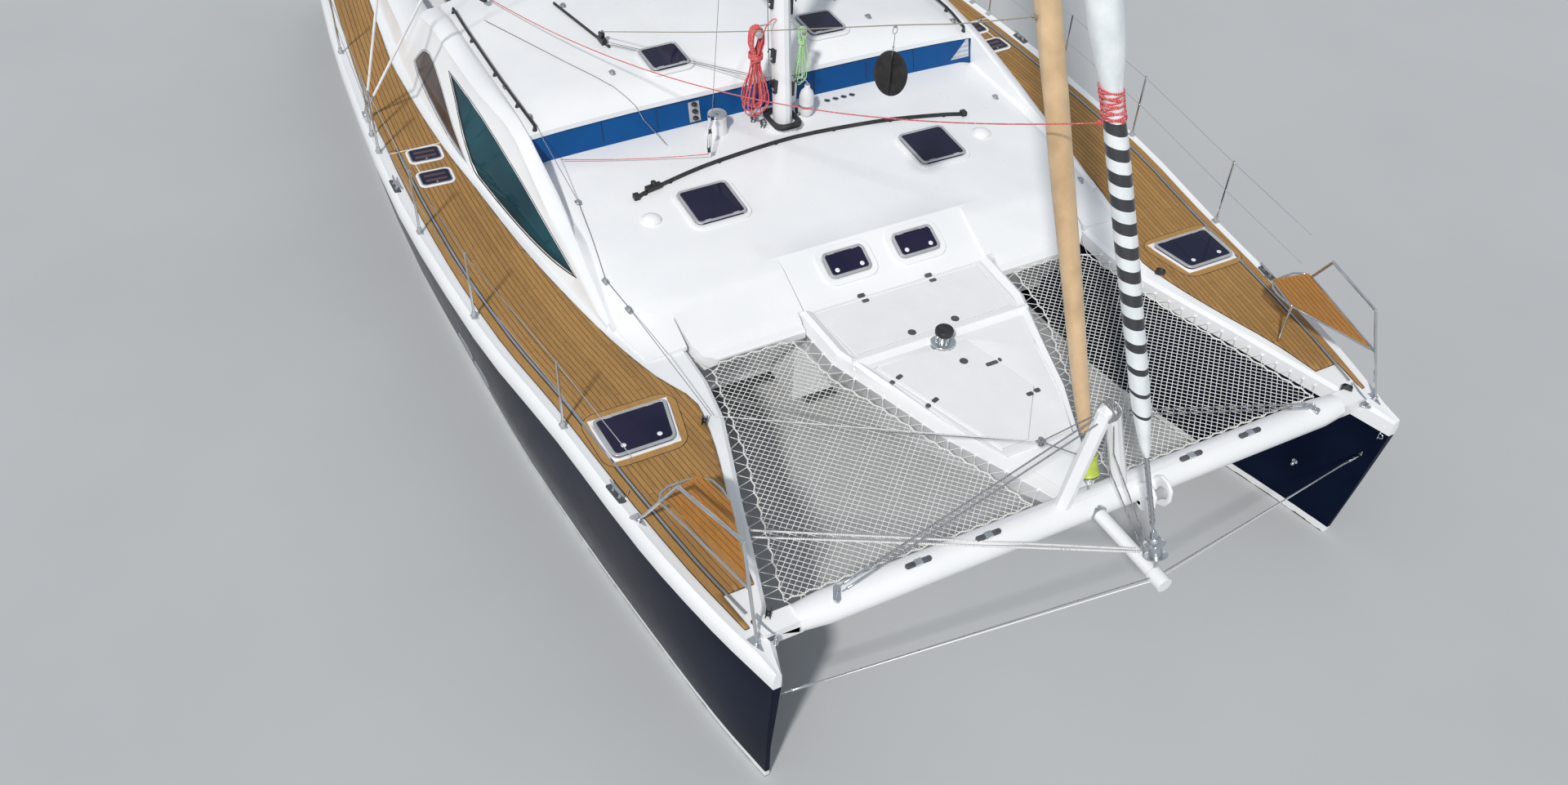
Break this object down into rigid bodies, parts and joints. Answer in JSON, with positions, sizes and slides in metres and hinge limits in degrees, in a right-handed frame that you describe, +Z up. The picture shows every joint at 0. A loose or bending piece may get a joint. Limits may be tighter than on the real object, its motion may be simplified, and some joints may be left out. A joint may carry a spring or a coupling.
{
  "type": "sailing catamaran",
  "caption": "Cruising sailing catamaran with dark blue hulls, white decks laid with teak, net foredecks, crossbeam with bowsprit, and two furled headsails.",
  "frame": {"origin": "on the waterline, on the centreline, amidships (7.4 m behind the bow tips)", "axes": "+X towards the bows, +Y to port, +Z up"},
  "size_m": [15.59, 8.222, 22.03],
  "materials": {
    "navy_hull": "gloss",
    "gelcoat": "satin",
    "grey_deck": "matt",
    "teak": "satin",
    "varnished_teak": "gloss",
    "tinted_glass": "gloss",
    "hatch_lens": "gloss",
    "blue_band": "gloss",
    "stainless": "polished",
    "alloy": "satin",
    "netting": "matt",
    "tan_cloth": "matt",
    "white_cloth": "matt",
    "grey_cloth": "matt",
    "bronze": "satin",
    "cushion": "matt"
  },
  "bodies": {
    "boat": {"bridge_deck": "gelcoat", "sundeck": "gelcoat", "roof": "gelcoat", "windscreen": "blue_band", "aft_bulkhead": "gelcoat", "saloon_seats": "cushion", "cockpit_seats": "cushion", "cockpit_cover": "grey_cloth", "nacelle": "gelcoat", "crossbeam": "gelcoat", "bowsprit": "alloy", "mast": "alloy", "furled_genoa": "tan_cloth", "furled_screecher": "white_cloth", "hull_starboard": "navy_hull", "deck_starboard": "gelcoat", "teak_deck_starboard": "teak", "cabin_side_starboard": "gelcoat", "forward_window_starboard": "tinted_glass", "aft_window_starboard": "tinted_glass", "trampoline_starboard": "netting", "shroud_starboard": "stainless", "pulpit_starboard": "stainless", "pulpit_seat_starboard": "varnished_teak", "lifelines_starboard": "stainless", "saildrive_starboard": "grey_deck", "hull_port": "navy_hull", "deck_port": "gelcoat", "teak_deck_port": "teak", "cabin_side_port": "gelcoat", "forward_window_port": "tinted_glass", "aft_window_port": "tinted_glass", "trampoline_port": "netting", "shroud_port": "stainless", "pulpit_port": "stainless", "pulpit_seat_port": "varnished_teak", "lifelines_port": "stainless", "saildrive_port": "grey_deck"},
    "bow_hatch_starboard": {"bow_hatch_starboard": "hatch_lens"},
    "sundeck_hatch_starboard": {"sundeck_hatch_starboard": "hatch_lens"},
    "front_hatch_starboard": {"front_hatch_starboard": "hatch_lens"},
    "roof_hatch_starboard": {"roof_hatch_starboard": "hatch_lens"},
    "rudder_starboard": {"rudder_starboard": "navy_hull"},
    "propeller_starboard": {"propeller_starboard": "bronze"},
    "helm_wheel_starboard": {"helm_wheel_starboard": "stainless"},
    "bow_hatch_port": {"bow_hatch_port": "hatch_lens"},
    "sundeck_hatch_port": {"sundeck_hatch_port": "hatch_lens"},
    "front_hatch_port": {"front_hatch_port": "hatch_lens"},
    "roof_hatch_port": {"roof_hatch_port": "hatch_lens"},
    "rudder_port": {"rudder_port": "navy_hull"},
    "propeller_port": {"propeller_port": "bronze"},
    "helm_wheel_port": {"helm_wheel_port": "stainless"},
    "boom": {"boom": "alloy", "sail_bag": "white_cloth"},
    "cabin_door": {"cabin_door": "tinted_glass"},
    "locker_lid": {"locker_lid": "grey_deck"},
    "anchor_lid": {"anchor_lid": "grey_deck"}
  },
  "joints": [
    {"name": "boom_swing", "type": "hinge", "parent": "boat", "child": "boom", "pos_m": [0.83, 0, 3.65], "axis": [0, 0, 1], "range_deg": [-50, 50]},
    {"name": "rudder_starboard_turn", "type": "hinge", "parent": "boat", "child": "rudder_starboard", "pos_m": [-6.5, -2.9, -0.3], "axis": [0, 0, 1], "range_deg": [-30, 30]},
    {"name": "rudder_port_turn", "type": "hinge", "parent": "boat", "child": "rudder_port", "pos_m": [-6.5, 2.9, -0.3], "axis": [0, 0, 1], "range_deg": [-30, 30]},
    {"name": "helm_wheel_starboard_turn", "type": "hinge", "parent": "boat", "child": "helm_wheel_starboard", "pos_m": [-5.62, -3.05, 2.2], "axis": [1, 0, 0], "range_deg": [-360, 360]},
    {"name": "helm_wheel_port_turn", "type": "hinge", "parent": "boat", "child": "helm_wheel_port", "pos_m": [-5.62, 3.05, 2.2], "axis": [1, 0, 0], "range_deg": [-360, 360]},
    {"name": "propeller_starboard_spin", "type": "hinge", "parent": "boat", "child": "propeller_starboard", "pos_m": [-3.87, -3, -1.02], "axis": [1, 0, 0], "continuous": true},
    {"name": "propeller_port_spin", "type": "hinge", "parent": "boat", "child": "propeller_port", "pos_m": [-3.87, 3, -1.02], "axis": [1, 0, 0], "continuous": true},
    {"name": "bow_hatch_starboard_hinge", "type": "hinge", "parent": "boat", "child": "bow_hatch_starboard", "pos_m": [4.34, -3.12, 1.7023], "axis": [0, -1, 0], "range_deg": [0, 90]},
    {"name": "sundeck_hatch_starboard_hinge", "type": "hinge", "parent": "boat", "child": "sundeck_hatch_starboard", "pos_m": [2.51995, -1.32006, 2.05562], "axis": [0.0005, 0.9999, 0.0107], "range_deg": [0, 90]},
    {"name": "front_hatch_starboard_hinge", "type": "hinge", "parent": "boat", "child": "front_hatch_starboard", "pos_m": [3.30717, -0.402, 1.93421], "axis": [0, -1, 0], "range_deg": [0, 75]},
    {"name": "roof_hatch_starboard_hinge", "type": "hinge", "parent": "boat", "child": "roof_hatch_starboard", "pos_m": [0.49508, -0.97012, 2.61963], "axis": [0.0006, 0.9998, 0.0202], "range_deg": [0, 90]},
    {"name": "bow_hatch_port_hinge", "type": "hinge", "parent": "boat", "child": "bow_hatch_port", "pos_m": [4.34, 3.12, 1.7023], "axis": [0, -1, 0], "range_deg": [0, 90]},
    {"name": "sundeck_hatch_port_hinge", "type": "hinge", "parent": "boat", "child": "sundeck_hatch_port", "pos_m": [2.51995, 1.32006, 2.05562], "axis": [-0.0005, 0.9999, -0.0107], "range_deg": [0, 90]},
    {"name": "front_hatch_port_hinge", "type": "hinge", "parent": "boat", "child": "front_hatch_port", "pos_m": [3.30717, 0.402, 1.93421], "axis": [0, -1, 0], "range_deg": [0, 75]},
    {"name": "roof_hatch_port_hinge", "type": "hinge", "parent": "boat", "child": "roof_hatch_port", "pos_m": [0.49508, 0.97012, 2.61963], "axis": [-0.0006, 0.9998, -0.0202], "range_deg": [0, 90]},
    {"name": "locker_lid_hinge", "type": "hinge", "parent": "boat", "child": "locker_lid", "pos_m": [3.85, 0, 1.6803], "axis": [0, -1, 0], "range_deg": [0, 88]},
    {"name": "anchor_lid_hinge", "type": "hinge", "parent": "boat", "child": "anchor_lid", "pos_m": [4.78, -0.8, 1.6803], "axis": [0.9459, 0.3245, 0], "range_deg": [0, 88]},
    {"name": "cabin_door_slide", "type": "slide", "parent": "boat", "child": "cabin_door", "axis": [0, 1, 0], "range_m": [0, 0.9]}
  ],
  "couplings": [
    {"joint": "rudder_port_turn", "follows": "rudder_starboard_turn", "ratio": 1},
    {"joint": "helm_wheel_starboard_turn", "follows": "rudder_starboard_turn", "ratio": 12},
    {"joint": "helm_wheel_port_turn", "follows": "rudder_starboard_turn", "ratio": 12}
  ]
}
